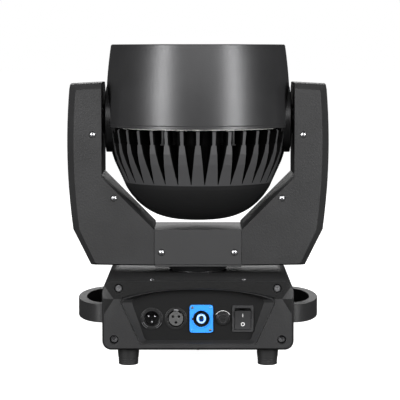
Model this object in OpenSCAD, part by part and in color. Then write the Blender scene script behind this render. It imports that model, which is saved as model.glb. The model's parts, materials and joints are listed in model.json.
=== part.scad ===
// Moving head wash light: a base, a yoke that pans on it and a head that tilts in the yoke.
// Frame: +Z up, the pan axis is Z, the connector side faces -Y, and Z = 0 is under the feet.

/* [Base] */
// Width of the base between its two side walls
base_w = 213; // [205:1:220]
// Depth of the base from the connector side to the display side
base_d = 220; // [216:1:230]
// Height of the top of the base above the floor
base_top = 97; // [95:0.5:98]
// Height of the rubber feet
foot_h = 19; // [16:0.5:20]
// Width across the two carrying handles
handle_span = 277; // [270:1:290]

/* [Yoke] */
// Widest part of the yoke
yoke_w = 300; // [298:1:304]
// Depth of the yoke
yoke_d = 100; // [96:1:104]
// Distance between the inner walls of the two arms
arm_gap = 219; // [218.5:0.5:221]
// Height of the yoke's underside above the floor
yoke_bottom = 105.5; // [104:0.5:107]
// Height of the top of the bridge between the arms
bridge_top = 148; // [146:0.5:149]
// Height of the tips of the arms
arm_top = 315.5; // [312:0.5:320]

/* [Head] */
// Height of the tilt axis above the floor
tilt_z = 272; // [271:0.5:274]
// Outer radius of the head at its front rim
rim_r = 100.3; // [98:0.1:101]
// Outer radius of the head at the lower edge of its skirt
skirt_r = 106.7; // [105:0.1:107]
// Height of the front rim above the floor
rim_z = 358; // [354:1:360]
// Number of cooling fins
fin_count = 36; // [30:1:40]
// Radius of one lens
lens_r = 15.5; // [13:0.5:16]
// Distance between neighbouring lenses
lens_pitch = 33.5; // [33:0.5:34.5]

/* [Hidden] */
$fn = 64;

// Base
wall = 3;
bezel_d = 20;
half_w = base_w / 2;
half_d = base_d / 2;
mid_d = base_d - 2 * bezel_d;
tray_t = 2.5;
edge_r = 14;
low_r = 10;
plate_y = half_d - 12;
plate_t = 2;
port_z = 53;
fit = 0.2;
run = 0.05;

// Drives
shaft_r = 30;
pan_pulley_r = 38;
pinion_r = 8;
pan_motor_x = 68;
pan_belt_z = 66;
belt_h = 10;
belt_t = 1.5;
belt_gap = 0.3;
motor_w = 42;
stub_r = 12;
tilt_pulley_r = 24;
tilt_motor_z = 150;

// Yoke
inner_x = arm_gap / 2;
half_y = yoke_d / 2;
shell_t = 2.5;
slope_base = 101;
elbow_z = inner_x + slope_base;
bridge_x = bridge_top - slope_base + 3;
frame_x = inner_x + 5;
frame_t = 3;
floor_t = 2.5;
frame_z = yoke_bottom + 2.5 + floor_t;

// Head
skirt_z = 264;
fin_low_z = 200;
fin_step_z = 246;
cap_r = 85.5;
cap_z = 156;
core_r = 72;
boss_r = 38;
boss_x = 109;
boss_edge_x = 105.8;
panel_z = 334;
panel_t = 3;

// Points of an arc round c, from angle a0 to a1
function arc(c, r, a0, a1, n = 8) =
  [for (i = [0:n]) let (a = a0 + (a1 - a0) * i / n) [c[0] + r * cos(a), c[1] + r * sin(a)]];

// Outline of the base seen from its end: round shoulders above, smaller corners below
function base_outline(inset = 0) =
  let (w = half_w - inset, lo = foot_h + inset, hi = base_top - inset,
       rt = max(edge_r - inset, 1), rb = max(low_r - inset, 1))
  concat(
    arc([w - rt, hi - rt], rt, 0, 90),
    arc([rt - w, hi - rt], rt, 90, 180),
    arc([rb - w, lo + rb], rb, 180, 270, 6),
    arc([w - rb, lo + rb], rb, 270, 360, 6)
  );

// Outline of the recess for the connectors: slanting sides under a shallow arch. It narrows from
// the lip (t = 0) to its back (t = 1); lift raises the arch, to bevel its edge
arch_rise = 11;
recess_corner_r = 5;
function recess_outline(t, lift = 0) =
  let (arch_x = 84.5 - 12.5 * t, arch_z = 76.2 - 1.7 * t + lift,
       top_x = 86.5 - 12.9 * t, top_z = 72.5 - 1.5 * t,
       low_x = 61.9 - 6.5 * t, low_z = 25.5 + 3.3 * t + recess_corner_r)
  concat(
    [for (i = [-8:8]) [-arch_x * i / 8, arch_z + arch_rise * (1 - pow(abs(i / 8), 2.5))]],
    [[-top_x, top_z]],
    arc([-low_x, low_z], recess_corner_r, 204, 270, 5),
    arc([low_x, low_z], recess_corner_r, 270, 336, 5),
    [[top_x, top_z]]
  );

// Outline of a rectangle with round corners, centred
function rounded(w, h, r) = concat(
  arc([w / 2 - r, h / 2 - r], r, 0, 90, 6), arc([r - w / 2, h / 2 - r], r, 90, 180, 6),
  arc([r - w / 2, r - h / 2], r, 180, 270, 6), arc([w / 2 - r, r - h / 2], r, 270, 360, 6)
);

// A plate or prism whose outline is given in X and Z, between two values of Y
module across_y(outline, y0, y1)
  translate([0, y1, 0]) rotate([90, 0, 0]) linear_extrude(y1 - y0) polygon(outline);

// Copies of the children mirrored to both sides of X = 0
module both_sides() { children(); mirror([1, 0, 0]) children(); }

// A round bar along X or Y
module bar_x(r, x0, x1) translate([x0, 0, 0]) rotate([0, 90, 0]) cylinder(r = r, h = x1 - x0);
module bar_y(r, y0, y1) translate([0, y1, 0]) rotate([90, 0, 0]) cylinder(r = r, h = y1 - y0);

// Outline of a belt round two pulleys, the big one at the origin and the small one at distance d
function belt_outline(d, big, small) =
  let (a = acos((big - small) / d))
  concat(arc([0, 0], big, a, 360 - a, 40), arc([d, 0], small, -a, a, 14));

module belt(d, big, small, h)
  linear_extrude(h) difference() {
    polygon(belt_outline(d, big + belt_gap + belt_t, small + belt_gap + belt_t));
    polygon(belt_outline(d, big + belt_gap, small + belt_gap));
  }

// ---------------------------------------------------------------- base

clamp_x = 106;
clamp_y = 60;
clamp_hole_r = 4.1;
foot_x = 78;
foot_y = 86;

module base_tray() {
  color("dimgray") difference() {
    union() {
      translate([-half_w + 6, -mid_d / 2, foot_h])
        cube([base_w - 12, mid_d, tray_t]);
      both_sides() translate([half_w - wall - 2.2, -mid_d / 2 + 5, foot_h + 11])
        cube([2, mid_d - 10, 26]);
      both_sides() translate([half_w - 8, -mid_d / 2 + 5, foot_h + 1]) cube([2, mid_d - 10, 12]);
      both_sides() translate([half_w - 8, -mid_d / 2 + 5, foot_h + 11]) cube([3, mid_d - 10, 2]);
    }
    for (x = [-1, 1], y = [-1, 1]) translate([x * clamp_x / 2, y * clamp_y / 2, foot_h - 1])
      cylinder(r = clamp_hole_r, h = tray_t + 2);
    for (i = [-4:4]) translate([i * 9 - 1.5, 46, foot_h - 1]) cube([3, 26, tray_t + 2]);
  }
}

vent_n = 7;
module base_top_cover() {
  color("dimgray") difference() {
    across_y(base_outline(), -mid_d / 2, mid_d / 2);
    across_y(base_outline(wall), -mid_d / 2 - 1, mid_d / 2 + 1);
    translate([-half_w + 5.9, -mid_d / 2 - 1, foot_h - 1]) cube([base_w - 11.8, mid_d + 2, 6]);
    translate([0, 0, base_top - wall - 1]) cylinder(r = shaft_r + 3, h = wall + 2);
    both_sides() for (i = [0:vent_n - 1], s = [-1, 1])
      translate([half_w - wall - 1, s * (50 + i * 5.5) - 1.2, foot_h + 22]) cube([wall + 2, 2.4, 28]);
  }
}

// Screws of an end moulding: the lower pair sits deeper, in the flank
screw_high = [88, 88];
screw_low = [93, 31];
bezel_screw_r = 3.6;
head_h = 2.6;
function seat_depth(z) = z > flank_z ? 6.4 : 7.6;
module bezel_screw_places()
  for (p = [screw_high, screw_low], s = [-1, 1])
    translate([s * p[0], seat_depth(p[1]) - half_d, p[1]]) children();

// One end moulding, built for the connector end
lip_bevel = 2.4;
flank_x = 93.4;
flank_z = 76.5;
flank_turn = 32.1;
flank_tilt = 11;
shoulder_tilt = 17;
brow_lean = 7;
// What is cut from a block's end face: a brow that leans back over the recess, and a flank and a
// shoulder on each side that turn outwards, all from one corner
module face_cuts() {
  translate([-half_w, -half_d, flank_z]) rotate([-brow_lean, 0, 0])
    translate([0, -20, 0]) cube([base_w, 20, 40]);
  both_sides() translate([flank_x, -half_d, flank_z]) {
    rotate([0, 0, shoulder_tilt]) translate([0, -20, 0]) cube([40, 20, 40]);
    rotate([0, -flank_turn, 0]) rotate([0, 0, flank_tilt]) translate([0, -20, -80]) cube([60, 20, 160]);
  }
}
module end_bezel(recess_depth) {
  recess_y = recess_depth - half_d;
  difference() {
    hull() {
      across_y(base_outline(), -half_d + 5, -half_d + bezel_d);
      across_y(base_outline(2.5), -half_d, -half_d + 1);
    }
    hull() {
      across_y(recess_outline(0, lip_bevel), -half_d - 1, -half_d);
      across_y(recess_outline(0), -half_d + lip_bevel - 0.1, -half_d + lip_bevel);
    }
    hull() {
      across_y(recess_outline(0), -half_d - 1, -half_d);
      across_y(recess_outline(1), recess_y - 0.5, recess_y);
    }
    across_y(recess_outline(1), recess_y - 1, -half_d + bezel_d + 1);
    across_y(base_outline(wall), recess_y, -half_d + bezel_d + 1);
    face_cuts();
    bezel_screw_places() {
      bar_y(bezel_screw_r + 1.4, -10, 0);
      bar_y(bezel_screw_r - 1, -1, 10);
    }
  }
}

module rear_bezel() color("dimgray") end_bezel(12);

module bezel_screws() color("black") for (s = [0, 180]) rotate([0, 0, s]) bezel_screw_places() difference() {
  union() {
    bar_y(bezel_screw_r, -head_h, 0);
    bar_y(bezel_screw_r - 1.4, 0, 8);
  }
  translate([0, 0.6 - head_h, 0]) rotate([90, 0, 0]) cylinder(r = 1.5, h = 3, $fn = 6);
}

// Places of the connectors, in X, on the connector plate
male_x = -51.5;
female_x = -24.5;
mains_x = 3.8;
fuse_x = 27.8;
switch_x = 50;
xlr_r = 11;
fuse_r = 7.2;
switch_w = 23.6;
switch_h = 29.5;

module at_port(x) translate([x, 0, port_z]) children();

// The plates lie behind the back edge of the recess, and reach a little past it
plate_share = 0.4;
module connector_plate() {
  y0 = -plate_y;
  color([0.09, 0.09, 0.1]) difference() {
    across_y(recess_outline(plate_share), y0, y0 + plate_t);
    at_port(male_x) bar_y(xlr_r + fit, y0 - 1, y0 + plate_t + 1);
    at_port(female_x) bar_y(xlr_r + fit, y0 - 1, y0 + plate_t + 1);
    at_port(mains_x) bar_y(10.8, y0 - 1, y0 + plate_t + 1);
    at_port(fuse_x) bar_y(fuse_r - 1, y0 - 1, y0 + plate_t + 1);
    at_port(switch_x) translate([-switch_w / 2 + 1.5, y0 - 1, -switch_h / 2 + 1.5])
      cube([switch_w - 3, plate_t + 2, switch_h - 3]);
  }
}

// Three contacts on a circle, as in a three-pole audio connector
xlr_bore_r = 8.6;
contact_circle_r = 4.2;
contact_r = 1.2;
module three_contacts(r) for (a = [35, 145, 270]) translate([r * cos(a), 0, r * sin(a)]) children();

module xlr_male_inlet() at_port(male_x) color([0.1, 0.1, 0.11]) difference() {
  bar_y(xlr_r, -plate_y - 1.5, -plate_y + 16);
  bar_y(xlr_bore_r, -plate_y - 2, -plate_y + 12);
  three_contacts(contact_circle_r) bar_y(contact_r, -plate_y + 11, -plate_y + 17);
}

module xlr_contacts() at_port(male_x) color("silver")
  three_contacts(contact_circle_r) bar_y(contact_r, -plate_y + 1, -plate_y + 18);

module xlr_female_outlet() at_port(female_x) {
  y0 = -plate_y;
  color([0.1, 0.1, 0.11]) difference() {
    bar_y(xlr_r, y0 - 1.5, y0 + 16);
    difference() {
      bar_y(9.4, y0 - 2, y0 + 5);
      bar_y(8, y0 - 3, y0 + 6);
    }
    three_contacts(contact_circle_r) bar_y(contact_r + fit, y0 - 2, y0 + 9);
  }
}

module mains_inlet() at_port(mains_x) {
  y0 = -plate_y;
  color([0.12, 0.45, 0.85]) difference() {
    union() {
      across_y(rounded(26, 31, 3), y0 - 2, y0);
      bar_y(10.6, y0, y0 + 20);
    }
    difference() {
      bar_y(9.2, y0 - 3, y0 + 15);
      bar_y(5.4, y0 - 1.5, y0 + 16);
    }
    translate([-2.2, y0 - 3, -3]) cube([4.4, 8, 8]);
    for (p = [[-10, 12.5], [10, -12.5]]) translate([p[0], 0, p[1]]) bar_y(1.6, y0 - 3, y0 + 1);
  }
}

module fuse_holder() at_port(fuse_x) {
  y0 = -plate_y;
  color([0.08, 0.08, 0.09]) difference() {
    union() {
      bar_y(fuse_r, y0 - 2.4, y0);
      bar_y(fuse_r - 1.3, y0, y0 + 18);
    }
    translate([-4, y0 - 3, -0.6]) cube([8, 1.8, 1.2]);
  }
}

rocker_w = 17.6;
rocker_h = 21;
rocker_axis_y = -plate_y + 5;
pivot_r = 1.5;
module switch_frame() at_port(switch_x) {
  y0 = -plate_y;
  color([0.12, 0.12, 0.13]) difference() {
    union() {
      across_y(rounded(switch_w, switch_h, 1.5), y0 - 1.6, y0);
      translate([-switch_w / 2 + 1.5, y0, -switch_h / 2 + 1.7]) cube([switch_w - 3, 18, switch_h - 3.4]);
    }
    translate([-rocker_w / 2 - 0.5, y0 - 2, -rocker_h / 2 - 1.7]) cube([rocker_w + 1, 13, rocker_h + 3.4]);
    translate([0, rocker_axis_y, 0]) bar_x(pivot_r + run, -switch_w, switch_w);
  }
}

// The rocker turns about a line 5 mm behind the plate, and rests in its lower position. Its face is
// two flats that meet in a shallow V, seen here from its side
rocker_tip = 8;
rocker_profile = [[-8.6, -rocker_h / 2], [-7, 0], [-8.6, rocker_h / 2], [0.6, 8.5], [0.6, -8.5]];
module switch_rocker() translate([switch_x, rocker_axis_y, port_z]) color([0.16, 0.16, 0.17]) {
  rotate([rocker_tip, 0, 0]) translate([-rocker_w / 2, 0, 0]) rotate([90, 0, 90])
    linear_extrude(rocker_w) polygon(rocker_profile);
  bar_x(pivot_r, -rocker_w / 2 - 1.4, rocker_w / 2 + 1.4);
}

screen_x = -26;
button_x = 34;
button_step = 13;
button_r = 4;
button_travel = 1.2;
module front_bezel() color("dimgray") rotate([0, 0, 180]) end_bezel(10);

front_plate_y = half_d - 10;
module display_plate() color([0.09, 0.09, 0.1]) difference() {
  across_y(recess_outline(plate_share), front_plate_y - plate_t, front_plate_y);
  translate([-screen_x - 27, front_plate_y - 3, port_z - 16]) cube([54, 4, 32]);
  for (p = button_places) translate([p[0], 0, p[1]])
    bar_y(button_r + 0.25, front_plate_y - 3, front_plate_y + 1);
}

module display_window() color([0.05, 0.07, 0.1])
  translate([-screen_x - 27 + fit, front_plate_y - 4, port_z - 16 + fit])
    cube([54 - 2 * fit, 3.4, 32 - 2 * fit]);

// The four menu buttons, in X and Z, as a diamond
button_places =
  [for (a = [90, 270, 0, 180]) [-button_x + button_step * cos(a), port_z + button_step * sin(a)]];
module menu_button(i) translate([button_places[i][0], 0, button_places[i][1]]) color([0.2, 0.2, 0.21]) {
  bar_y(button_r, front_plate_y - 5, front_plate_y + 2.2);
  bar_y(button_r + 1, front_plate_y - 5, front_plate_y - plate_t - button_travel - 0.4 + 1.4);
}

handle_low = 46.5;
handle_high = 67;
handle_d = 168;
handle_t = 9.4;
handle_end_t = 20;
module handle() {
  reach = handle_span / 2 - half_w;
  difference() {
    translate([half_w, 0, handle_low]) linear_extrude(handle_high - handle_low) difference() {
      polygon(half_ellipse(reach, handle_d / 2));
      polygon(half_ellipse(reach - handle_t, handle_d / 2 - handle_end_t));
    }
    translate([half_w + reach - 1.2, -12, (handle_low + handle_high) / 2 - 5]) cube([3, 24, 10]);
  }
}
// Half of an ellipse standing on the wall of the base, with its flat side along X = 0
function half_ellipse(x, y) = [for (i = [-16:16]) let (a = i * 90 / 16) [x * cos(a), y * sin(a)]];

module rubber_feet() color([0.1, 0.1, 0.1])
  for (x = [-1, 1], y = [-1, 1]) translate([x * foot_x, y * foot_y, 0]) {
    cylinder(r1 = 10.9, r2 = 12.1, h = foot_h - 4);
    translate([0, 0, foot_h - 4]) cylinder(r = 12.1, h = 4);
  }

module safety_eye() color("silver") translate([-1.5, -12, 0]) difference() {
  union() {
    translate([0, 0, 4]) cube([3, 24, foot_h - 4 - 2]);
    translate([-7, 0, foot_h - 2]) cube([17, 24, 2]);
  }
  translate([0, 12, 10.5]) bar_x(5, -1, 4);
}

module power_supply() color("silver") translate([-98, -80, foot_h + tray_t]) difference() {
  cube([76, 62, 36]);
  for (i = [0:6]) translate([10 + i * 9, 8, 33]) cube([3, 46, 4]);
}

module control_board() color("darkgreen") translate([-70, 0, foot_h + tray_t]) {
  for (x = [4, 60], y = [34, 82]) translate([x, y, 0]) cylinder(r = 2.5, h = 6);
  translate([0, 30, 6]) cube([64, 56, 1.6]);
  translate([8, 40, 7.6]) cube([14, 14, 2]);
  translate([38, 36, 7.6]) cube([10, 20, 10]);
}

// ---------------------------------------------------------------- pan drive

bearing_z = 80;
module pan_bearing() color("silver") difference() {
  union() {
    translate([0, 0, bearing_z]) cylinder(r = 42, h = base_top - wall - bearing_z);
    translate([-52, -16, base_top - wall - 3]) cube([104, 32, 3]);
  }
  translate([0, 0, bearing_z - 1]) cylinder(r = shaft_r + run, h = 30);
}

module pan_motor() color([0.2, 0.2, 0.22]) translate([pan_motor_x, 0, foot_h + tray_t]) difference() {
  union() {
    translate([-motor_w / 2, -motor_w / 2, 0]) cube([motor_w, motor_w, 38]);
    cylinder(r = 11, h = 40);
  }
  translate([0, 0, 16]) cylinder(r = 2.5 + run, h = 30);
}

module pan_motor_pulley() color("gold") translate([pan_motor_x, 0, 0]) {
  translate([0, 0, foot_h + tray_t + 20]) cylinder(r = 2.5, h = pan_belt_z - foot_h - tray_t - 19);
  translate([0, 0, pan_belt_z - 1]) cylinder(r = pinion_r, h = belt_h + 2);
}

module pan_belt() color([0.08, 0.08, 0.08])
  translate([0, 0, pan_belt_z + 0.5]) belt(pan_motor_x, pan_pulley_r, pinion_r, belt_h - 1);

module pan_shaft() color([0.15, 0.15, 0.16]) difference() {
  union() {
    translate([0, 0, 58]) cylinder(r = shaft_r, h = yoke_bottom - 58);
    translate([0, 0, base_top + 1])
      cylinder(r1 = shaft_r + 2, r2 = shaft_r + 8, h = yoke_bottom - base_top - 1);
  }
  translate([0, 0, 57]) cylinder(r = shaft_r - 8, h = 60);
}

module pan_pulley() color("gold") translate([0, 0, pan_belt_z]) difference() {
  cylinder(r = pan_pulley_r, h = belt_h);
  translate([0, 0, -1]) cylinder(r = shaft_r, h = belt_h + 2);
  for (a = [0:60:359]) rotate([0, 0, a]) translate([34, 0, -1]) cylinder(r = 2, h = belt_h + 2);
}

// ---------------------------------------------------------------- yoke

// X of the outer side of an arm at height z: a long shallow bulge
function arm_x(z) = yoke_w / 2 - pow(z - 245, 2) / 1480;

corner_z = 148;
chin_x = 121;
chin_z = 107;

// Upper, straight half of an arm and its lower wedge; edge is the inset along the outer edges
function arm_upper(edge, wall_x = 0, drop = 7) =
  concat(
    [[inner_x + wall_x, elbow_z - drop], [inner_x + wall_x, arm_top - edge * 0.8],
     [arm_x(308) - edge - 1, arm_top - 2 - edge * 0.8]],
    [for (i = [0:8]) let (top = 308 - edge * 0.5, z = top - i * (top - elbow_z + drop) / 8)
      [arm_x(z) - edge, z]]
  );
function arm_lower(edge, slope = 0, end_x = bridge_x) =
  concat(
    [[end_x, end_x + slope_base - slope], [inner_x + slope * 0.3, elbow_z - slope * 0.7]],
    [for (i = [0:4]) let (z = elbow_z - i * (elbow_z - corner_z) / 4) [arm_x(z) - edge, z]],
    [[chin_x + 2 - edge * 0.7, chin_z + edge * 0.35], [chin_x - 3 - edge * 0.6, yoke_bottom + 1 + edge * 0.3],
     [end_x, yoke_bottom + edge * 0.3]]
  );

// The rear shell of the right arm
module arm_cover() {
  bevel = 9;
  face_y = -half_y;
  difference() {
    union() {
      hull() {
        across_y(arm_upper(1.2), face_y + 10, 0);
        across_y(arm_upper(0), -1, 0);
        across_y(arm_upper(bevel), face_y, face_y + 0.5);
      }
      hull() {
        across_y(arm_lower(1.2, 0), face_y + 10, 0);
        across_y(arm_lower(0, 0), -1, 0);
        across_y(arm_lower(bevel, 3), face_y, face_y + 0.5);
      }
    }
    hull() {
      across_y(arm_upper(shell_t + 1.2, shell_t, 11), face_y + 10, 1);
      across_y(arm_upper(bevel + 1, shell_t, 11), face_y + shell_t, face_y + shell_t + 1);
    }
    hull() {
      across_y(arm_lower(shell_t + 1.2, shell_t * 1.42, bridge_x - 1), face_y + 10, 1);
      across_y(arm_lower(bevel + 1, shell_t * 1.42 + 2, bridge_x - 1),
        face_y + shell_t, face_y + shell_t + 1);
    }
    translate([0, 0, tilt_z]) bar_x(stub_r + 6, inner_x - 1, inner_x + shell_t + 1);
    yoke_screw_places() bar_y(1.9, face_y - 1, face_y + 4);
  }
}

// Places of the cover screws on one side, in X and Z
arm_screws = [[119.5, 256], [95.5, 184]];
module yoke_screw_places() for (p = arm_screws) translate([p[0], 0, p[1]]) children();

module right_arm_rear_cover() color("dimgray") arm_cover();
module right_arm_front_cover() color("dimgray") mirror([0, 1, 0]) arm_cover();
module left_arm_rear_cover() color("dimgray") mirror([1, 0, 0]) arm_cover();
module left_arm_front_cover() color("dimgray") mirror([1, 0, 0]) mirror([0, 1, 0]) arm_cover();

bridge_screws = [[41.5, 122]];
module bridge_cover() {
  x = bridge_x - 0.2;
  y = -half_y + 0.8;
  difference() {
    union() {
      translate([-x, y, yoke_bottom + 2.8]) cube([2 * x, 2.2, bridge_top - yoke_bottom - 2.8]);
      translate([-x, y, bridge_top - 2.2]) cube([2 * x, -y - 0.2, 2.2]);
    }
    both_sides() for (p = bridge_screws) translate([p[0], 0, p[1]]) bar_y(1.9, y - 1, y + 4);
  }
}
module bridge_rear_cover() color([0.3, 0.3, 0.31]) bridge_cover();
module bridge_front_cover() color([0.3, 0.3, 0.31]) mirror([0, 1, 0]) bridge_cover();

module cover_screw(face_y) difference() {
  union() {
    bar_y(3, face_y - 1.2, face_y);
    bar_y(1.8, face_y, face_y + 7);
  }
  for (a = [0, 90]) rotate([0, a, 0]) translate([-0.5, face_y - 2, -1.8]) cube([1, 1.4, 3.6]);
}
module yoke_screws() color("silver") for (s = [0, 180]) rotate([0, 0, s]) both_sides() {
  yoke_screw_places() cover_screw(-half_y);
  for (p = bridge_screws) translate([p[0], 0, p[1]]) cover_screw(-half_y + 0.8);
}

module yoke_floor_plate() color("silver") difference() {
  union() {
    translate([-bridge_x + 0.4, -half_y + 1.1, yoke_bottom]) cube([2 * bridge_x - 0.8, yoke_d - 2.2, 2.5]);
    translate([-116, -36, yoke_bottom + 2.5]) cube([232, 72, floor_t]);
  }
  translate([0, 0, yoke_bottom - 1]) cylinder(r = shaft_r - 8, h = 8);
}

module frame_plate() difference() {
  union() {
    translate([frame_x, -26, frame_z]) cube([frame_t, 52, 197]);
    translate([frame_x - 20, -26, frame_z]) cube([20 + frame_t, 52, frame_t]);
  }
  translate([0, 0, tilt_z]) bar_x(stub_r + 6, frame_x - 1, frame_x + frame_t + 1);
}
module right_frame_plate() color("silver") difference() {
  frame_plate();
  translate([0, 0, tilt_motor_z]) bar_x(11.4, frame_x - 1, frame_x + frame_t + 1);
}
module left_frame_plate() color("silver") mirror([1, 0, 0]) frame_plate();

module tilt_bearing() translate([0, 0, tilt_z]) difference() {
  union() {
    bar_x(stub_r + 6, frame_x, frame_x + 6);
    bar_x(stub_r + 9, frame_x + frame_t, frame_x + 6);
  }
  bar_x(stub_r + run, frame_x - 1, frame_x + 7);
}
module right_tilt_bearing() color("silver") tilt_bearing();
module left_tilt_bearing() color("silver") mirror([1, 0, 0]) tilt_bearing();

module tilt_motor() color([0.2, 0.2, 0.22]) translate([0, 0, tilt_motor_z]) difference() {
  union() {
    translate([frame_x - 34, -motor_w / 2, -motor_w / 2]) cube([34, motor_w, motor_w]);
    bar_x(11, frame_x, frame_x + 2);
  }
  bar_x(2.5 + run, frame_x - 22, frame_x + 4);
}

belt_x = frame_x + 9;
module tilt_motor_pulley() color("gold") translate([0, 0, tilt_motor_z]) {
  bar_x(2.5, frame_x - 20, belt_x);
  bar_x(pinion_r, belt_x - 1, belt_x + 7);
}

module tilt_belt() color([0.08, 0.08, 0.08]) translate([belt_x + 0.5, 0, tilt_z]) rotate([0, 90, 0])
  belt(tilt_z - tilt_motor_z, tilt_pulley_r, pinion_r, 5);

module arm_driver_board() color("darkgreen") {
  translate([-frame_x - frame_t - 6, -22, 130]) cube([1.6, 44, 90]);
  for (z = [136, 214], y = [-17, 17]) translate([0, y, z])
    bar_x(2.5, -frame_x - frame_t - 4.4, -frame_x - frame_t);
  translate([-frame_x - frame_t - 9, -10, 160]) cube([3, 20, 20]);
}

// ---------------------------------------------------------------- head

// Radius of the head shell at height z: it draws in slowly at first, then faster towards the rim
function shell_r(z) = skirt_r - (skirt_r - rim_r) * pow((z - skirt_z) / (rim_z - skirt_z), 2.2);
shell_steps = 12;
rim_h = 6;
shell_h = rim_z - rim_h - skirt_z;
bead = 0.7;

module hub_clearance(gap) both_sides() translate([0, 0, tilt_z]) bar_x(boss_r + gap, 93.5, 120);

module head_shell() color([0.2, 0.2, 0.21]) difference() {
  rotate_extrude($fn = 96) polygon([
    [skirt_r - wall, skirt_z], [skirt_r + bead, skirt_z], [skirt_r + bead, skirt_z + 3],
    for (i = [0:shell_steps]) let (z = skirt_z + 4 + (shell_h - 4) * i / shell_steps) [shell_r(z), z],
    [shell_r(rim_z - rim_h) - wall, rim_z - rim_h]
  ]);
  hub_clearance(fit);
}

module front_rim() color([0.15, 0.15, 0.16]) rotate_extrude($fn = 96) polygon([
  [shell_r(rim_z - rim_h), rim_z - rim_h], [rim_r + 0.1, rim_z - 1], [rim_r - 1, rim_z],
  [rim_r - 3, rim_z], [rim_r - 4.5, rim_z - 2], [rim_r - 5, rim_z - rim_h]
]);

// Centres of the lenses: one in the middle, then rings of six and twelve on a triangular grid
lens_places = [
  for (i = [-2:2], j = [-2:2]) if (abs(i + j) <= 2)
    [lens_pitch * (i + j / 2), lens_pitch * j * sqrt(3) / 2]
];
module at_lenses() for (p = lens_places) translate([p[0], p[1], 0]) children();

actuator_y = 83;
rod_r = 3;
module lens_panel() color([0.07, 0.07, 0.08]) {
  difference() {
    translate([0, 0, panel_z]) cylinder(r = 94, h = panel_t, $fn = 96);
    at_lenses() translate([0, 0, panel_z - 1]) cylinder(r = lens_r + fit, h = panel_t + 2, $fn = 48);
  }
  for (s = [-1, 1]) translate([0, s * actuator_y, 268]) cylinder(r = rod_r, h = panel_z - 268);
}

module lenses() color([0.8, 0.85, 0.9, 0.5]) at_lenses() translate([0, 0, panel_z]) rotate_extrude($fn = 48)
  polygon(concat(
    [[0, -22], [8, -22], [lens_r, -2], [lens_r, 3]],
    [for (a = [15:15:90]) [lens_r * cos(a), 3 + 4.5 * sin(a)]]
  ));

board_z = 262;
module zoom_actuators() color("silver") for (s = [-1, 1]) translate([0, s * actuator_y, board_z + 2])
difference() {
  union() {
    cylinder(r = 7.5, h = 26);
    cylinder(r = 8.5, h = 3);
  }
  translate([0, 0, -1]) cylinder(r = rod_r + run, h = 28);
}

module led_board() color([0.85, 0.85, 0.82]) {
  translate([0, 0, board_z]) cylinder(r = 91, h = 2, $fn = 96);
  at_lenses() translate([-3.5, -3.5, board_z + 2]) cube([7, 7, 1.5]);
}

// A slot between two fins, seen from outside: parallel at the top, then narrowing to a point below
slot_w = 14.4;
slot_step_w = 12.2;
module fin_slot() translate([core_r, 0, 0]) rotate([90, 0, 90]) linear_extrude(40) polygon([
  [-slot_w / 2, board_z + 1], [slot_w / 2, board_z + 1], [slot_w / 2, fin_step_z],
  [slot_step_w / 2, fin_step_z], [0.4, fin_low_z + 1.5], [-0.4, fin_low_z + 1.5],
  [-slot_step_w / 2, fin_step_z], [-slot_w / 2, fin_step_z]
]);

module heat_sink() color([0.13, 0.13, 0.14]) difference() {
  rotate_extrude($fn = 72) polygon([
    [0, board_z], [0, 252], [64, 252], [64, fin_low_z], [cap_r, fin_low_z], [96.5, 224],
    [100.5, 236], [104.3, board_z - 1], [103.3, board_z]
  ]);
  for (i = [0:fin_count - 1]) rotate([0, 0, (i + 0.5) * 360 / fin_count]) fin_slot();
  hub_clearance(1);
}

fan_z = 206;
module fan_frame() color([0.1, 0.1, 0.1]) translate([0, 0, fan_z]) difference() {
  union() {
    difference() {
      cylinder(r = 63.5, h = 22);
      translate([0, 0, -1]) cylinder(r = 58, h = 24);
    }
    cylinder(r = 18, h = 3);
    for (a = [45:90:359]) rotate([0, 0, a]) translate([10, -3, 0]) cube([50, 6, 3]);
  }
  translate([0, 0, -1]) cylinder(r = 2 + run, h = 5);
}

module fan_rotor() color([0.12, 0.12, 0.12]) translate([0, 0, fan_z]) {
  translate([0, 0, 0.5]) cylinder(r = 2, h = 5);
  translate([0, 0, 4]) cylinder(r = 17, h = 18);
  for (i = [0:6]) rotate([0, 0, i * 360 / 7]) translate([10, -8, 6]) rotate([40, 0, 0]) cube([44, 20, 1.6]);
}

cap_h = fin_low_z - cap_z;
// Radius of the rear cap at depth t, from 0 at the fins to 1 at its flat end
function cap_radius(t) = pow(1 - pow(t, 1.2), 0.33);
cap_steps = [for (i = [0:18]) 1 - pow(1 - i / 18, 2)];
module rear_cap() color([0.08, 0.08, 0.09]) rotate_extrude($fn = 96) polygon(concat(
  [for (t = cap_steps) [cap_r * cap_radius(t), fin_low_z - cap_h * t]],
  [for (i = [18:-1:0]) [(cap_r - wall) * cap_radius(cap_steps[i]), fin_low_z - (cap_h - wall) * cap_steps[i]]]
));

// A tilt hub: a disc with a shallow dome, and a hollow stub that turns in the yoke
dome_h = boss_x - boss_edge_x;
dome = [for (i = [0:6]) let (r = boss_r * (1 - i / 6)) [r, 1 + dome_h * (1 - pow(r / boss_r, 2))]];
module tilt_hub(length) difference() {
  translate([0, 0, tilt_z]) {
    bar_x(boss_r, 94, boss_edge_x);
    translate([boss_edge_x - 1, 0, 0]) rotate([0, 90, 0]) rotate_extrude()
      polygon(concat([[0, 0], [boss_r, 0]], dome));
    bar_x(stub_r, boss_edge_x, boss_x + length);
  }
  translate([0, 0, tilt_z]) bar_x(stub_r - 4, 93, boss_x + length + 1);
}
module right_tilt_hub() color("dimgray") tilt_hub(26);
module left_tilt_hub() color("dimgray") mirror([1, 0, 0]) tilt_hub(16);

module tilt_pulley() color("gold") translate([0, 0, tilt_z]) difference() {
  bar_x(tilt_pulley_r, belt_x - 1, belt_x + 7);
  bar_x(stub_r, belt_x - 2, belt_x + 8);
}

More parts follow.
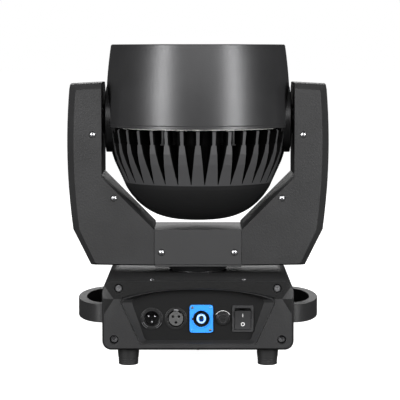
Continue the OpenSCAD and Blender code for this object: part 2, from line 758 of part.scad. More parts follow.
// ---------------------------------------------------------------- assembly

base_tray();
base_top_cover();
rear_bezel();
connector_plate();
front_bezel();
display_plate();
display_window();
menu_button(0);  // menu_button_up
menu_button(1);  // menu_button_down
menu_button(2);  // menu_button_menu
menu_button(3);  // menu_button_enter
color("dimgray") mirror([1, 0, 0]) handle();  // left_handle
color("dimgray") handle();  // right_handle
rubber_feet();
safety_eye();
xlr_male_inlet();
xlr_contacts();
xlr_female_outlet();
mains_inlet();
fuse_holder();
switch_frame();
switch_rocker();
bezel_screws();
power_supply();
control_board();
pan_bearing();
pan_motor();
pan_motor_pulley();
pan_belt();
pan_shaft();
pan_pulley();
yoke_floor_plate();
left_frame_plate();
right_frame_plate();
left_arm_rear_cover();
left_arm_front_cover();
right_arm_rear_cover();
right_arm_front_cover();
bridge_rear_cover();
bridge_front_cover();
yoke_screws();
left_tilt_bearing();
right_tilt_bearing();
tilt_motor();
tilt_motor_pulley();
tilt_belt();
arm_driver_board();
head_shell();
front_rim();
lens_panel();
lenses();
zoom_actuators();
led_board();
heat_sink();
fan_frame();
fan_rotor();
rear_cap();
left_tilt_hub();
right_tilt_hub();
tilt_pulley();
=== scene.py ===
import math
import json

import bpy
import bmesh
from mathutils import Matrix, Vector


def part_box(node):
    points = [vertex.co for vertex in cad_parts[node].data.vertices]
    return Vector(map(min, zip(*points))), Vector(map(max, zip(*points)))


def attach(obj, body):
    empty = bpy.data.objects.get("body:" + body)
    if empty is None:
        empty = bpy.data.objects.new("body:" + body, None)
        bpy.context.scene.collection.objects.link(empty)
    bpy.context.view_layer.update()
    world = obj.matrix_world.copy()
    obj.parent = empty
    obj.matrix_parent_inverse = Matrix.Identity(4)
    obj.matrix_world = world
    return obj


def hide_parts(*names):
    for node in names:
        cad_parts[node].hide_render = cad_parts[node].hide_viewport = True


MM = 0.001

CAMERA_LENS = 171
CAMERA_PLACE = (0.0023, -2.2, 0.35)
CAMERA_TARGET = (0.0023, 0, 0.178)
FLOOR_REACH = 30
FLOOR_GLOW = 0.97
AMBIENT = 0.055
LIGHT_TARGET = (0, 0, 0.25)

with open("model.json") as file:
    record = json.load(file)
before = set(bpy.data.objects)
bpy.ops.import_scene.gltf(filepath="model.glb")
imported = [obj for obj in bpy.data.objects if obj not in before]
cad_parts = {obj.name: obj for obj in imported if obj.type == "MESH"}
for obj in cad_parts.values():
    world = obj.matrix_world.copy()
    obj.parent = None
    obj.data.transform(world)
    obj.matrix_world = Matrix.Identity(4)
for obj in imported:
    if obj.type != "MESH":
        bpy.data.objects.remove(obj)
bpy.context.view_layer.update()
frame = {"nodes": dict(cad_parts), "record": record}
nodes = frame["nodes"]
scene = bpy.context.scene
scene.view_settings.view_transform = "Standard"


# ---------------------------------------------------------------- camera and studio

def look_at(obj, target):
    obj.rotation_euler = (Vector(target) - obj.location).to_track_quat("-Z", "Y").to_euler()


def make_camera():
    data = bpy.data.cameras.new("camera")
    data.lens = CAMERA_LENS
    data.clip_end = 50
    cam = bpy.data.objects.new("camera", data)
    scene.collection.objects.link(cam)
    cam.location = CAMERA_PLACE
    look_at(cam, CAMERA_TARGET)
    scene.camera = cam


def area_light(name, place, target, width, height, watts):
    data = bpy.data.lights.new(name, "AREA")
    data.shape = "RECTANGLE"
    data.size, data.size_y = width, height
    data.energy = watts
    obj = bpy.data.objects.new(name, data)
    scene.collection.objects.link(obj)
    obj.location = place
    look_at(obj, target)


def make_world(ambient):
    """A white cyclorama behind the object, which adds only a little light to it."""
    world = bpy.data.worlds.new("studio")
    scene.world = world
    world.use_nodes = True
    tree = world.node_tree
    seen = tree.nodes["Background"]
    seen.inputs["Color"].default_value = (1, 1, 1, 1)
    seen.inputs["Strength"].default_value = 1.0
    felt = tree.nodes.new("ShaderNodeBackground")
    felt.inputs["Color"].default_value = (1, 1, 1, 1)
    felt.inputs["Strength"].default_value = ambient
    path = tree.nodes.new("ShaderNodeLightPath")
    mix = tree.nodes.new("ShaderNodeMixShader")
    tree.links.new(path.outputs["Is Camera Ray"], mix.inputs[0])
    tree.links.new(felt.outputs["Background"], mix.inputs[1])
    tree.links.new(seen.outputs["Background"], mix.inputs[2])
    tree.links.new(mix.outputs["Shader"], tree.nodes["World Output"].inputs["Surface"])


def make_floor():
    """A glowing white floor, which the object doesn't mirror."""
    mesh = bpy.data.meshes.new("floor")
    far = FLOOR_REACH
    corners = [(-far, -far, 0), (far, -far, 0), (far, far, 0), (-far, far, 0)]
    mesh.from_pydata(corners, [], [(0, 1, 2, 3)])
    floor = bpy.data.objects.new("floor", mesh)
    scene.collection.objects.link(floor)
    mat = bpy.data.materials.new("floor")
    mat.use_nodes = True
    shader = mat.node_tree.nodes["Principled BSDF"]
    shader.inputs["Base Color"].default_value = (0.8, 0.8, 0.8, 1)
    shader.inputs["Roughness"].default_value = 1.0
    shader.inputs["Emission Color"].default_value = (1, 1, 1, 1)
    shader.inputs["Emission Strength"].default_value = FLOOR_GLOW
    mesh.materials.append(mat)
    floor.visible_diffuse = False
    floor.visible_glossy = False


def make_lights():
    for side, name in ((-1, "left"), (1, "right")):
        area_light("strip_" + name, (side * 1.11, -1.15, 0.55), LIGHT_TARGET, 0.36, 1.2, 33)
    area_light("front", (0, -2.3, 1.25), LIGHT_TARGET, 1.8, 1.0, 19)
    area_light("overhead", (0, 1.5, 1.8), LIGHT_TARGET, 1.3, 0.8, 4)
    area_light("behind", (0, 2.4, 1.0), LIGHT_TARGET, 0.7, 1.2, 7)


make_camera()
make_world(AMBIENT)
make_floor()
make_lights()


# ---------------------------------------------------------------- materials

RELIEF = 0.3 * MM
MOTTLE_SCALE = 24


def grained(name, colour, roughness, metallic=0.0, grain=0.0011, bump=0.1, mottle=0.1, rough_var=0.05,
            stretch=(1, 1, 1), specular=0.5):
    """A procedural finish: a fine grained relief, slow colour mottling and uneven gloss."""
    mat = bpy.data.materials.new(name)
    mat.use_nodes = True
    tree = mat.node_tree
    new, link = tree.nodes.new, tree.links.new
    shader = tree.nodes["Principled BSDF"]
    shader.inputs["Metallic"].default_value = metallic
    shader.inputs["Specular IOR Level"].default_value = specular
    where = new("ShaderNodeTexCoord")
    slow = new("ShaderNodeTexNoise")
    slow.inputs["Scale"].default_value = MOTTLE_SCALE
    slow.inputs["Detail"].default_value = 5
    link(where.outputs["Object"], slow.inputs["Vector"])
    tint = new("ShaderNodeMix")
    tint.data_type = "RGBA"
    tint.inputs["A"].default_value = (*[c * (1 - mottle) for c in colour], 1)
    tint.inputs["B"].default_value = (*[min(1, c * (1 + mottle)) for c in colour], 1)
    link(slow.outputs["Fac"], tint.inputs["Factor"])
    link(tint.outputs["Result"], shader.inputs["Base Color"])
    mapping = new("ShaderNodeMapping")
    mapping.inputs["Scale"].default_value = stretch
    link(where.outputs["Object"], mapping.inputs["Vector"])
    fine = new("ShaderNodeTexNoise")
    fine.inputs["Scale"].default_value = 1 / grain
    fine.inputs["Detail"].default_value = 3
    link(mapping.outputs["Vector"], fine.inputs["Vector"])
    gloss = new("ShaderNodeMapRange")
    gloss.inputs["To Min"].default_value = roughness - rough_var
    gloss.inputs["To Max"].default_value = roughness + rough_var
    link(fine.outputs["Fac"], gloss.inputs["Value"])
    link(gloss.outputs["Result"], shader.inputs["Roughness"])
    relief = new("ShaderNodeBump")
    relief.inputs["Strength"].default_value = bump
    relief.inputs["Distance"].default_value = RELIEF
    link(fine.outputs["Fac"], relief.inputs["Height"])
    link(relief.outputs["Normal"], shader.inputs["Normal"])
    return mat


def grey(value, blue=1.03):
    return (value, value, value * blue)


SLOT_LOOKS = {
    "moulded_cover": dict(colour=grey(0.018), roughness=0.48, grain=0.0021, bump=0.8, mottle=0.35,
                          specular=0.38),
    "bridge_panel": dict(colour=grey(0.024), roughness=0.5, specular=0.4, grain=0.0006, bump=0.15),
    "head_casting": dict(colour=grey(0.042), roughness=0.38, grain=0.0018, bump=0.3, metallic=0.55,
                         mottle=0.25, stretch=(1, 1, 2)),
    "heat_sink_black": dict(colour=grey(0.055), roughness=0.5, metallic=0.2, specular=0.4, grain=0.0008,
                            bump=0.1),
    "rear_cap_black": dict(colour=grey(0.008), roughness=0.5, specular=0.36, grain=0.0008, bump=0.05),
    "panel_black": dict(colour=grey(0.005), specular=0.26, roughness=0.45, grain=0.0005, bump=0.08),
    "connector_black": dict(colour=grey(0.01), roughness=0.38, grain=0.0005, bump=0.05),
    "mains_blue": dict(colour=(0.03, 0.26, 0.86), roughness=0.34, grain=0.0007, bump=0.04, mottle=0.05),
    "rocker_black": dict(colour=grey(0.03), roughness=0.34, grain=0.0005, bump=0.06),
    "button_grey": dict(colour=grey(0.1), roughness=0.55, grain=0.0004, bump=0.08),
    "display_glass": dict(colour=(0.004, 0.008, 0.02), roughness=0.08, grain=0.002, bump=0.0, rough_var=0.02),
    "rubber_black": dict(colour=grey(0.014), specular=0.35, roughness=0.62, grain=0.0008, bump=0.3),
    "steel_zinc": dict(colour=grey(0.5), roughness=0.34, metallic=1.0, grain=0.0008, stretch=(1, 12, 12)),
    "frame_aluminium": dict(colour=grey(0.55), roughness=0.4, metallic=1.0, grain=0.001, stretch=(12, 1, 12)),
    "screw_dark": dict(colour=grey(0.16), roughness=0.34, metallic=0.5, grain=0.0005),
    "motor_black": dict(colour=grey(0.02), roughness=0.4, grain=0.0008),
    "belt_rubber": dict(colour=grey(0.015), roughness=0.8, grain=0.0006, bump=0.3),
    "pulley_aluminium": dict(colour=grey(0.6), roughness=0.3, metallic=1.0, grain=0.0005),
    "circuit_board": dict(colour=(0.01, 0.09, 0.03), roughness=0.35, grain=0.001, mottle=0.3),
    "led_board_white": dict(colour=(0.7, 0.7, 0.66), roughness=0.4, grain=0.001),
    "lens_panel_black": dict(colour=grey(0.014), roughness=0.45, grain=0.0008),
    "fan_plastic": dict(colour=grey(0.014), roughness=0.42, grain=0.0008),
}


def lens_acrylic():
    mat = bpy.data.materials.new("lens_acrylic")
    mat.use_nodes = True
    shader = mat.node_tree.nodes["Principled BSDF"]
    shader.inputs["Base Color"].default_value = (0.93, 0.95, 0.97, 1)
    shader.inputs["Roughness"].default_value = 0.04
    shader.inputs["IOR"].default_value = 1.49
    shader.inputs["Transmission Weight"].default_value = 0.9
    return mat


def glowing(name, colour, strength):
    mat = bpy.data.materials.new(name)
    mat.use_nodes = True
    shader = mat.node_tree.nodes["Principled BSDF"]
    shader.inputs["Base Color"].default_value = (*[c * 0.2 for c in colour], 1)
    shader.inputs["Emission Color"].default_value = (*colour, 1)
    shader.inputs["Emission Strength"].default_value = strength
    return mat


looks = {name: grained(name, **values) for name, values in SLOT_LOOKS.items()}
looks["lens_acrylic"] = lens_acrylic()
looks["display_glow"] = glowing("display_glow", (0.35, 0.75, 1.0), 1.6)
looks["led_phosphor"] = grained("led_phosphor", (0.86, 0.7, 0.12), 0.4, grain=0.0004, bump=0.05)
looks["print_white"] = grained("print_white", (0.72, 0.72, 0.72), 0.6, grain=0.0003, bump=0.05)
looks["socket_pale"] = grained("socket_pale", (0.42, 0.62, 0.86), 0.3, grain=0.0005, bump=0.04)
looks["socket_grey"] = grained("socket_grey", (0.06, 0.06, 0.06), 0.5, grain=0.0005)
# Painted shade: a near-black copy of the moulded cover for the leaning brow of the end mouldings, darkening
# it as dim light would.
looks["brow_painted_shade"] = grained("brow_painted_shade", grey(0.003), 0.6, grain=0.0021, bump=0.8, specular=0.2)
# Painted shade: a near-black colour for the fin flanks and the core between the fins, darkening the gaps as
# shade would.
looks["fin_gap_painted_shade"] = grained("fin_gap_painted_shade", (0.002, 0.002, 0.002), 0.7, specular=0.1)


# ---------------------------------------------------------------- building tools

TO_REAR = Matrix.Rotation(math.radians(90), 4, "X")
TO_FRONT = Matrix.Rotation(math.radians(180), 4, "Z") @ TO_REAR


def at(x, y, z, turn=TO_REAR):
    """Places a form drawn with Z towards the viewer of that side; x, y and z are in metres."""
    return Matrix.Translation((x, y, z)) @ turn


def islands(node):
    """Boxes of the separate bodies of a CAD node, as (low, high) corners."""
    bm = bmesh.new()
    bm.from_mesh(nodes[node].data)
    bmesh.ops.remove_doubles(bm, verts=bm.verts, dist=0.01 * MM)
    seen, boxes = set(), []
    for first in bm.verts:
        if first in seen:
            continue
        seen.add(first)
        stack, found = [first], []
        while stack:
            vert = stack.pop()
            found.append(vert.co.copy())
            for edge in vert.link_edges:
                other = edge.other_vert(vert)
                if other not in seen:
                    seen.add(other)
                    stack.append(other)
        boxes.append((Vector(map(min, *found)), Vector(map(max, *found))))
    bm.free()
    return boxes


class Form:
    """A mesh under construction, in millimetres around each place."""

    def __init__(self):
        self.bm = bmesh.new()

    def lathe(self, profile, place, sides=48, closed=False, start=0.0, sweep=360.0):
        """Turns a profile of (radius, height) about local Z, all the way round or through part of a turn."""
        whole = sweep >= 360
        steps = sides if whole else sides + 1
        rings = []
        for radius, height in profile:
            if radius < 1e-6:
                rings.append([self.bm.verts.new(place @ Vector((0, 0, height * MM)))])
                continue
            ring = []
            for i in range(steps):
                a = math.radians(start + sweep * i / sides)
                point = Vector((radius * math.cos(a), radius * math.sin(a), height))
                ring.append(self.bm.verts.new(place @ (point * MM)))
            rings.append(ring)
        pairs = list(zip(rings, rings[1:]))
        if closed:
            pairs.append((rings[-1], rings[0]))
        for lower, upper in pairs:
            for i in range(sides):
                j = (i + 1) % steps
                quad = [lower[i % len(lower)], lower[j % len(lower)]]
                quad += [upper[j % len(upper)], upper[i % len(upper)]]
                quad = list(dict.fromkeys(quad))
                if len(quad) > 2:
                    self.bm.faces.new(quad)
        if closed and not whole:
            self.bm.faces.new([ring[0] for ring in rings])
            self.bm.faces.new([ring[-1] for ring in reversed(rings)])

    def prism(self, outline, low, high, place):
        """A straight prism on an outline of (x, y) points, between two local heights."""
        rings = []
        for height in (low, high):
            rings.append([self.bm.verts.new(place @ (Vector((x, y, height)) * MM)) for x, y in outline])
        self.bm.faces.new(list(reversed(rings[0])))
        self.bm.faces.new(rings[1])
        for i in range(len(outline)):
            j = (i + 1) % len(outline)
            self.bm.faces.new([rings[0][i], rings[0][j], rings[1][j], rings[1][i]])

    def block(self, x0, y0, x1, y1, low, high, place):
        self.prism([(x0, y0), (x1, y0), (x1, y1), (x0, y1)], low, high, place)

    def piece(self, name, slot, body, replaced=(), bevel_mm=0.0):
        bmesh.ops.recalc_face_normals(self.bm, faces=self.bm.faces)
        mesh = bpy.data.meshes.new(name)
        self.bm.to_mesh(mesh)
        self.bm.free()
        mesh.materials.append(looks[slot])
        obj = bpy.data.objects.new(name, mesh)
        scene.collection.objects.link(obj)
        for face in mesh.polygons:
            face.use_smooth = True
        mesh.set_sharp_from_angle(angle=math.radians(32))
        if bevel_mm:
            bevel = obj.modifiers.new("bevel", "BEVEL")
            bevel.width = bevel_mm * MM
            bevel.segments = 3
            bevel.limit_method = "ANGLE"
            bevel.angle_limit = math.radians(30)
        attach(obj, body)
        if replaced:
            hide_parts(*replaced)


def arc(radius, start, stop, steps, centre=(0, 0)):
    """Points (x, y) along an arc."""
    angles = [math.radians(start + (stop - start) * i / steps) for i in range(steps + 1)]
    return [(centre[0] + radius * math.cos(a), centre[1] + radius * math.sin(a)) for a in angles]


# ---------------------------------------------------------------- screws

def cross_recess(form, reach, half, depth, top, place, head_r):
    """A domed screw head with a cross recess: eight sectors of dome round a sunk cross."""
    floor = top - depth
    cross = [(half, half), (half, reach), (-half, reach), (-half, half), (-reach, half), (-reach, -half),
             (-half, -half), (-half, -reach), (half, -reach), (half, -half), (reach, -half), (reach, half)]
    rim = []
    for x, y in cross:
        a = math.atan2(y, x)
        rim.append((head_r * math.cos(a), head_r * math.sin(a)))

    def ring(points, height, scale=1.0):
        return [form.bm.verts.new(place @ (Vector((x * scale, y * scale, height)) * MM)) for x, y in points]

    bottom = ring([(x * 0.7, y * 0.7) for x, y in cross], floor)
    lip = ring(cross, top)
    shoulder = ring(rim, top - 0.25, 0.72)
    edge = ring(rim, top - 0.9)
    base = ring(rim, top - 1.5)
    for low, high in ((bottom, lip), (lip, shoulder), (shoulder, edge), (edge, base)):
        for i in range(len(cross)):
            j = (i + 1) % len(cross)
            form.bm.faces.new([low[i], low[j], high[j], high[i]])
    form.bm.faces.new(bottom)


def make_yoke_screws():
    heads, shade_rings = Form(), Form()
    for low, high in islands("yoke_screws"):
        x, z = (low.x + high.x) / 2, (low.z + high.z) / 2
        rear = low.y < 0 and abs(low.y) > abs(high.y)
        face_y = (low.y if rear else high.y) + (1.2 * MM if rear else -1.2 * MM)
        place = at(x, face_y, z, TO_REAR if rear else TO_FRONT)
        cross_recess(heads, 1.7, 0.34, 1.0, 1.2, place, 2.9)
        # Painted shade: a thin near-black ring round each screw head, standing in for the shadow round the
        # head.
        shade_rings.lathe([(2.7, 0.02), (3.7, 0.02), (3.9, 0.25), (3.6, 0.45), (2.9, 0.3), (2.7, 0.02)], place, 32)
    heads.piece("yoke_screw_heads", "steel_zinc", "yoke", ["yoke_screws"])
    shade_rings.piece("yoke_screw_shade_rings", "panel_black", "yoke")


def make_cover_screws():
    """Small screws in the top of the base, near its two ends."""
    form = Form()
    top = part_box("base_top_cover")[1].z
    for x in (-51, 51):
        for y in (-102, 102):
            cross_recess(form, 1.4, 0.3, 0.8, 1.1, Matrix.Translation((x * MM, y * MM, top)), 2.6)
    form.piece("cover_screws", "steel_zinc", "base")


def make_feet():
    form = Form()
    for low, high in islands("rubber_feet"):
        x, y = (low.x + high.x) / 2, (low.y + high.y) / 2
        place = Matrix.Translation((x, y, 0))
        profile = [(0, 1.2), (4.2, 1.2), (4.6, 0.0), (9.6, 0.0), (10.6, 0.5), (11.0, 1.4)]
        for i in range(3):
            z = 2.4 + i * 2.0
            r = 11.0 + i * 0.12
            profile += [(r, z), (r - 0.35, z + 0.4), (r - 0.35, z + 0.8), (r + 0.05, z + 1.2)]
        profile += [(11.6, 10), (12.0, 14.5), (12.1, 19), (0, 19)]
        form.lathe(profile, place, 56)
    form.piece("ribbed_feet", "rubber_black", "base", ["rubber_feet"])


# ---------------------------------------------------------------- connector panel

def port(node):
    low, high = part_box(node)
    return (low.x + high.x) / 2, low.y, (low.z + high.z) / 2


def ring_profile(inner, outer, low, high, soft=0.25):
    """A closed profile of a flat ring with softened edges."""
    return [(inner, low), (outer, low), (outer, high - soft), (outer - soft, high), (inner + soft, high),
            (inner, high - soft)]


def make_data_sockets():
    arcs = Form()
    for node in ("xlr_male_inlet", "xlr_female_outlet"):
        x, y, z = port(node)
        place = at(x, y + 1.5 * MM, z)
        flange = Form()
        flange.lathe(ring_profile(10.9, 12.4, 0, 0.9), place, 64, closed=True)
        flange.piece(node + "_flange", "connector_black", "base", bevel_mm=0.15)
        if node == "xlr_male_inlet":
            for start in (202, 296):
                for radius in (9.5, 11.4):
                    outline = [(radius, 1.5), (radius + 0.5, 1.5), (radius + 0.5, 1.9), (radius, 1.9)]
                    arcs.lathe(outline, place, 14, closed=True, start=start, sweep=42)
            pins = Form()
            for box_low, box_high in islands("xlr_contacts"):
                px, pz = (box_low.x + box_high.x) / 2, (box_low.z + box_high.z) / 2
                tip = [(0, 0.4), (0.5, 0.3), (0.95, 0), (1.2, -0.5), (1.2, -17), (0, -17)]
                pins.lathe(tip, at(px, box_low.y, pz), 24)
            pins.piece("data_in_pins", "steel_zinc", "base", ["xlr_contacts"])
    arcs.piece("data_in_latch_arcs", "steel_zinc", "base")
    x, y, z = port("xlr_female_outlet")
    latch = Form()
    latch.block(-2.4, 8.3, 2.4, 10.6, 1.2, 2.1, at(x, y + 1.5 * MM, z))
    latch.piece("data_out_latch", "steel_zinc", "base", bevel_mm=0.3)


def make_mains_inlet():
    x, y, z = port("mains_inlet")
    place = at(x, y + 2 * MM, z)
    ring = Form()
    ring.lathe(ring_profile(9.3, 10.6, 1.8, 2.7), place, 64, closed=True)
    ring.piece("mains_inlet_collar", "mains_blue", "base")
    well = Form()
    well.lathe(ring_profile(5.5, 9.15, -6, -5), place, 56, closed=True)
    well.lathe([(9.15, -5.8), (9.15, 1.7), (8.9, 1.7), (8.9, -5.8)], place, 56, closed=True)
    well.piece("mains_inlet_well", "connector_black", "base")
    core = Form()
    core.lathe([(3.3, 1.7), (5.0, 1.7), (5.3, 1.4), (5.3, -5), (3.3, -5)], place, 48, closed=True)
    core.piece("mains_inlet_core", "socket_pale", "base")
    keys = Form()
    keys.block(-10.4, -1.3, -8.6, 1.3, 1.4, 2.9, place)
    keys.prism(arc(2.6, 0, 330, 11, (0.4, 1.6)), 0.4, 1.4, place)
    keys.piece("mains_inlet_keys", "connector_black", "base", bevel_mm=0.15)
    bolts = Form()
    for dx, dz in ((-10, 12.5), (10, -12.5)):
        spot = at(x + dx * MM, y + 0.9 * MM, z + dz * MM)
        cross_recess(bolts, 1.2, 0.25, 0.7, 1.1, spot, 2.0)
    bolts.piece("mains_inlet_screws", "screw_dark", "base")
    studs = Form()
    for dx, dz in ((10, 12.5), (-10, -12.5)):
        spot = at(x + dx * MM, y, z + dz * MM)
        studs.lathe([(0, 0.7), (0.9, 0.65), (1.5, 0.3), (1.6, 0), (0, 0)], spot, 24)
    studs.piece("mains_inlet_studs", "mains_blue", "base")


def make_fuse_cap():
    x, y, z = port("fuse_holder")
    place = at(x, y + 2.4 * MM, z)
    knurl = []
    teeth = 30
    for i in range(teeth * 2):
        a = math.radians(i * 180 / teeth)
        r = 6.3 if i % 2 else 5.95
        knurl.append((r * math.cos(a), r * math.sin(a)))
    cap = Form()
    cap.lathe([(0, 0.1), (7.3, 0.1), (7.5, 0.4), (7.3, 1.0), (6.4, 1.2), (0, 1.2)], place, 56)
    cap.prism(knurl, 1.1, 3.4, place)
    cap.lathe(ring_profile(3.6, 5.6, 3.3, 3.9), place, 48, closed=True)
    cap.lathe([(0, 3.5), (3.1, 3.5), (3.1, 3.3), (0, 3.3)], place, 40)
    cap.piece("fuse_cap", "connector_black", "base", bevel_mm=0.1)
    # Painted shade: a thin dark bar on the cap's top stands in for the shade inside its slot; no slot is cut.
    slot_shade = Form()
    slot_shade.block(-2.9, -0.45, 2.9, 0.45, 3.45, 3.62, place)
    slot_shade.piece("fuse_cap_slot_shade", "panel_black", "base")
    mark = Form()
    mark.lathe(ring_profile(8.6, 9.0, 0.02, 0.1, 0.02), place, 28, closed=True, start=28, sweep=124)
    mark.piece("fuse_cap_mark", "print_white", "base")


ROCKER_TIP = 8
ROCKER_FLAT = 8.66
ROCKER_AXIS_Y = -93
ROCKER_AXIS_Z = 53
ROCKER_FACE = 7.8


def make_rocker_marks():
    low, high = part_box("switch_rocker")
    pivot = Vector(((low.x + high.x) / 2, ROCKER_AXIS_Y * MM, ROCKER_AXIS_Z * MM))
    axis = Matrix.Translation(pivot) @ Matrix.Rotation(math.radians(ROCKER_TIP), 4, "X")
    upper_turn = Matrix.Rotation(math.radians(90 + ROCKER_FLAT), 4, "X")
    lower_turn = Matrix.Rotation(math.radians(90 - ROCKER_FLAT), 4, "X")
    upper = axis @ Matrix.Translation((0, -ROCKER_FACE * MM, 5.25 * MM)) @ upper_turn
    lower = axis @ Matrix.Translation((0, -ROCKER_FACE * MM, -5.0 * MM)) @ lower_turn
    marks = Form()
    marks.block(-0.35, -2.0, 0.35, 2.0, -0.1, 0.12, upper)
    marks.lathe(ring_profile(1.35, 2.1, -0.1, 0.12, 0.03), lower, 36, closed=True)
    marks.piece("rocker_marks", "print_white", "rocker")


# ---------------------------------------------------------------- display side

SEGMENTS = {"0": "abcdef", "1": "bc", "A": "abcefg"}


def seven_segment(form, sign, x, place):
    """One seven-segment sign, 5 mm wide and 10 mm high."""
    bars = {
        "a": (0.5, 9.4, 4.5, 10), "d": (0.5, 0, 4.5, 0.6), "g": (0.5, 4.7, 4.5, 5.3),
        "f": (0, 5.4, 0.6, 9.4), "b": (4.4, 5.4, 5, 9.4), "e": (0, 0.6, 0.6, 4.6), "c": (4.4, 0.6, 5, 4.6),
    }
    for key in SEGMENTS[sign]:
        x0, y0, x1, y1 = bars[key]
        form.block(x + x0, y0 - 5, x + x1, y1 - 5, 0, 0.12, place)


def make_display():
    low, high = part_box("display_window")
    place = at((low.x + high.x) / 2, high.y, (low.z + high.z) / 2, TO_FRONT)
    glow = Form()
    for i, sign in enumerate("A001"):
        seven_segment(glow, sign, -14 + i * 7.6, place)
    for i in range(5):
        glow.block(-18 + i * 7.6, -11.5, -13 + i * 7.6, -10.6, 0, 0.12, place)
    glow.piece("display_signs", "display_glow", "base")
    frame_ring = Form()
    w, h = (high.x - low.x) / MM / 2, (high.z - low.z) / MM / 2
    sides = ((-w - 2, h, w + 2, h + 2), (-w - 2, -h - 2, w + 2, -h), (-w - 2, -h, -w, h), (w, -h, w + 2, h))
    for x0, y0, x1, y1 in sides:
        frame_ring.block(x0, y0, x1, y1, 0.55, 1.3, place)
    frame_ring.piece("display_frame", "panel_black", "base", bevel_mm=0.3)


def make_button_marks():
    shapes = {"up": [(-1.5, -1), (1.5, -1), (0, 1.4)], "down": [(1.5, 1), (-1.5, 1), (0, -1.4)],
              "menu": [(-1.6, -0.35), (1.6, -0.35), (1.6, 0.35), (-1.6, 0.35)], "enter": arc(1.2, 0, 340, 17)}
    for name, outline in shapes.items():
        low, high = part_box("menu_button_" + name)
        mark = Form()
        mark.prism(outline, -0.05, 0.12, at((low.x + high.x) / 2, high.y, (low.z + high.z) / 2, TO_FRONT))
        mark.piece("button_mark_" + name, "print_white", "button_" + name)


# ---------------------------------------------------------------- head

def make_lenses():
    """Collimator lenses: a domed face with concentric steps over a cone, as moulded."""
    form = Form()
    for low, high in islands("lenses"):
        x, y = (low.x + high.x) / 2, (low.y + high.y) / 2
        radius = (high.x - low.x) / 2 / MM
        top = high.z / MM
        place = Matrix.Translation((x, y, 0))
        profile = [(0, low.z / MM), (7.9, low.z / MM), (radius - 0.1, top - 9.6)]
        profile += [(radius, top - 9), (radius, top - 4.8)]
        for i in range(6):
            r = radius * (1 - i / 6) - 0.2
            rise = top - 4.5 * (r / radius) ** 2
            profile += [(r, rise - 0.35), (r - 0.25, rise)]
        profile += [(0, top)]
        form.lathe(profile, place, 56)
    form.piece("collimator_lenses", "lens_acrylic", "lens_carriage", ["lenses"])
    rims = Form()
    for low, high in islands("lenses"):
        x, y = (low.x + high.x) / 2, (low.y + high.y) / 2
        radius = (high.x - low.x) / 2 / MM
        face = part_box("lens_panel")[1].z / MM
        place = Matrix.Translation((x, y, 0))
        rims.lathe(ring_profile(radius + 0.15, radius + 1.1, face - 0.2, face + 1.2), place, 56, closed=True)
    rims.piece("lens_rims", "lens_panel_black", "lens_carriage")
    chips = Form()
    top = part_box("led_board")[1].z / MM
    for low, high in islands("lenses"):
        x, y = (low.x + high.x) / 2, (low.y + high.y) / 2
        place = Matrix.Translation((x, y, 0))
        for dx in (-1.6, 1.6):
            for dy in (-1.6, 1.6):
                chips.block(dx - 1.3, dy - 1.3, dx + 1.3, dy + 1.3, top, top + 0.5, place)
    chips.piece("led_chips", "led_phosphor", "head")


def make_standoffs():
    """Pillars between the fins, just under the skirt."""
    form = Form()
    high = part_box("heat_sink")[1].z / MM
    for turn in range(0, 360, 90):
        for offset in (-25, 25):
            a = math.radians(turn + offset)
            place = Matrix.Translation((92 * MM * math.cos(a), 92 * MM * math.sin(a), 0))
            foot = high - 15
            pillar = [(0, foot), (1.7, foot), (1.9, high - 14.6), (1.9, high), (0, high)]
            nut = [(0, high - 16.6), (3.0, high - 16.6), (3.2, high - 16.2), (3.2, foot), (0, foot)]
            form.lathe(pillar, place, 24)
            form.lathe(nut, place, 6)
    form.piece("fin_standoffs", "motor_black", "head")


def in_shaded_fin_gaps(centre, normal):
    """True on the flanks of the fins and on the core between them, the faces that get a painted shade."""
    radius = math.hypot(centre.x, centre.y)
    outward = (normal.x * centre.x + normal.y * centre.y) / max(radius, 1)
    return centre.z > 201 and radius > 65 and (radius < 84 or abs(outward) < 0.5)


def near_axis(node, centre, reach):
    """True within that reach, in mm, of a connector's own axis."""
    x, y, z = port(node)
    return math.hypot(centre.x - x / MM, centre.z - z / MM) < reach


def paint(node, slot, wanted):
    """Gives the faces of a CAD node that pass the test another material: a finish of its own, or a painted
    shade.
    """
    mesh = nodes[node].data
    mesh.materials.append(looks[slot])
    index = len(mesh.materials) - 1
    for face in mesh.polygons:
        if wanted(face.center / MM, face.normal):
            face.material_index = index
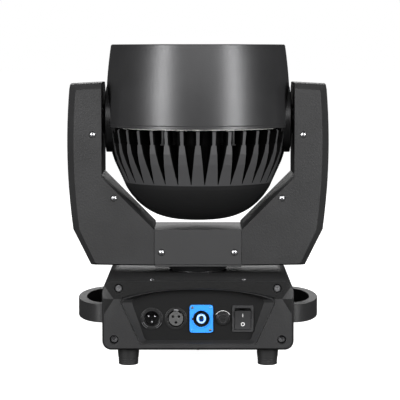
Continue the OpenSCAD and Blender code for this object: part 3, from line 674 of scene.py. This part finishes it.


# ---------------------------------------------------------------- finish of the CAD nodes, with painted shade on some faces

EDGE_ROUND = {
    "moulded_cover": 1.2, "bridge_panel": 0.6, "head_casting": 0.6,
    "connector_black": 0.3, "mains_blue": 0.6, "rocker_black": 0.5, "button_grey": 0.6, "panel_black": 0.3,
    "rubber_black": 1.2, "screw_dark": 0.35, "steel_zinc": 0.3, "lens_panel_black": 0.4,
    "pulley_aluminium": 0.3, "fan_plastic": 0.4, "motor_black": 0.5, "frame_aluminium": 0.4,
}

NODE_ROUND = {
    "left_handle": 2.4, "right_handle": 2.4, "front_rim": 0.12, "head_shell": 0.12,
    "rear_bezel": 0.5, "front_bezel": 0.5,
}

SOCKET_DISC = 8.05


def soften(obj, width_mm):
    """Rounds the sharp edges of a CAD node as moulding or machining leaves them."""
    for face in obj.data.polygons:
        face.use_smooth = True
    weld = obj.modifiers.new("weld", "WELD")
    weld.merge_threshold = 0.01 * MM
    flat = obj.modifiers.new("flat", "DECIMATE")
    flat.decimate_type = "DISSOLVE"
    flat.angle_limit = math.radians(0.6)
    bevel = obj.modifiers.new("bevel", "BEVEL")
    bevel.width = width_mm * MM
    bevel.segments = 3
    bevel.limit_method = "ANGLE"
    bevel.angle_limit = math.radians(28)
    bevel.miter_outer = "MITER_ARC"
    normals = obj.modifiers.new("normals", "WEIGHTED_NORMAL")
    normals.keep_sharp = True


def dress_cad_nodes():
    for row in frame["record"]["subparts"]:
        obj = nodes[row["node"]]
        obj.data.materials.clear()
        obj.data.materials.append(looks[row["material_slot"]])
        width = NODE_ROUND.get(row["node"], EDGE_ROUND.get(row["material_slot"]))
        if width:
            soften(obj, width)
        else:
            for face in obj.data.polygons:
                face.use_smooth = True
            obj.data.set_sharp_from_angle(angle=math.radians(20))


def on_shaded_brow(centre, normal):
    """True on the top part of an end moulding, which leans back; these faces get a painted shade, a
    near-black colour standing in for the dim light they catch.
    """
    return 0.05 < normal.z < 0.5 and abs(normal.x) < 0.3


def on_socket_disc(centre, normal):
    """True on the middle of the data outlet."""
    return near_axis("xlr_female_outlet", centre, SOCKET_DISC)


dress_cad_nodes()
# Painted shade: the fin flanks and the core of the heat sink are painted near black; only the outward faces
# keep the heat sink's own colour.
paint("heat_sink", "fin_gap_painted_shade", in_shaded_fin_gaps)
# Painted shade: the brow faces of both end mouldings are painted near black.
for bezel in ("rear_bezel", "front_bezel"):
    paint(bezel, "brow_painted_shade", on_shaded_brow)
paint("xlr_female_outlet", "socket_grey", on_socket_disc)
make_yoke_screws()
make_feet()
make_data_sockets()
make_mains_inlet()
make_fuse_cap()
make_rocker_marks()
make_display()
make_button_marks()
make_lenses()
make_standoffs()
make_cover_screws()
